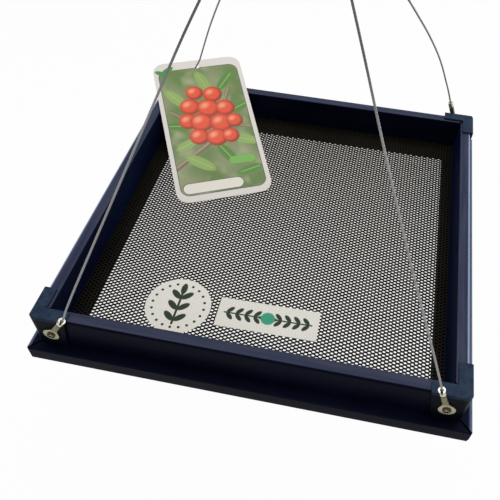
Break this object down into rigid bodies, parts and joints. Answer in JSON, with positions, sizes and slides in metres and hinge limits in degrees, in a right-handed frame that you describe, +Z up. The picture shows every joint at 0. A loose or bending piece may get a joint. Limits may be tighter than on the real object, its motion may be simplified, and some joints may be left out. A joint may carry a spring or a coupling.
{
  "type": "hanging platform bird feeder",
  "caption": "Square open tray of mitred hollow rails with a perforated floor, hung on steel cables that meet in a crimped sleeve and loop; offers seed to birds.",
  "frame": {"origin": "middle of the square tray, on the plane of the rails' undersides", "axes": "+X to the tray's right, +Y to its back, +Z up along the hanging axis"},
  "size_m": [0.3198, 0.3348, 0.373],
  "materials": {
    "navy_rail": "dark navy, satin, from recycled plastic",
    "navy_cap": "dark navy, satin, a shade greener than the rails",
    "inner_nylon": "plain moulded black",
    "coated_steel": "brown-black powder coat, matte",
    "plated_steel": "zinc plated, pale yellow passivation",
    "dark_steel": "screws of browned steel, worn bright round the cross recess",
    "cable_steel": "bare stranded steel",
    "sleeve_aluminium": "dull crimped aluminium",
    "tag_card": "satin printed card",
    "label_paper": "matte paper, dark green print"
  },
  "bodies": {
    "root": {"rail_front": "navy_rail", "rail_back": "navy_rail", "rail_left": "navy_rail", "rail_right": "navy_rail", "corner_cap_front_left": "navy_cap", "corner_cap_front_right": "navy_cap", "corner_cap_back_right": "navy_cap", "corner_cap_back_left": "navy_cap", "corner_key_front_left": "inner_nylon", "corner_key_front_right": "inner_nylon", "corner_key_back_right": "inner_nylon", "corner_key_back_left": "inner_nylon", "floor_screen": "coated_steel", "terminal_front_left": "plated_steel", "terminal_front_right": "plated_steel", "terminal_back_right": "plated_steel", "terminal_back_left": "plated_steel", "screw_front_left": "dark_steel", "screw_front_right": "dark_steel", "screw_back_right": "dark_steel", "screw_back_left": "dark_steel", "cable_front_left": "cable_steel", "cable_front_right": "cable_steel", "cable_back_right": "cable_steel", "cable_back_left": "cable_steel", "gather_sleeve": "sleeve_aluminium", "hanging_loop": "cable_steel", "hang_tag": "tag_card", "round_label": "label_paper", "oblong_label": "label_paper"}
  },
  "joints": []
}
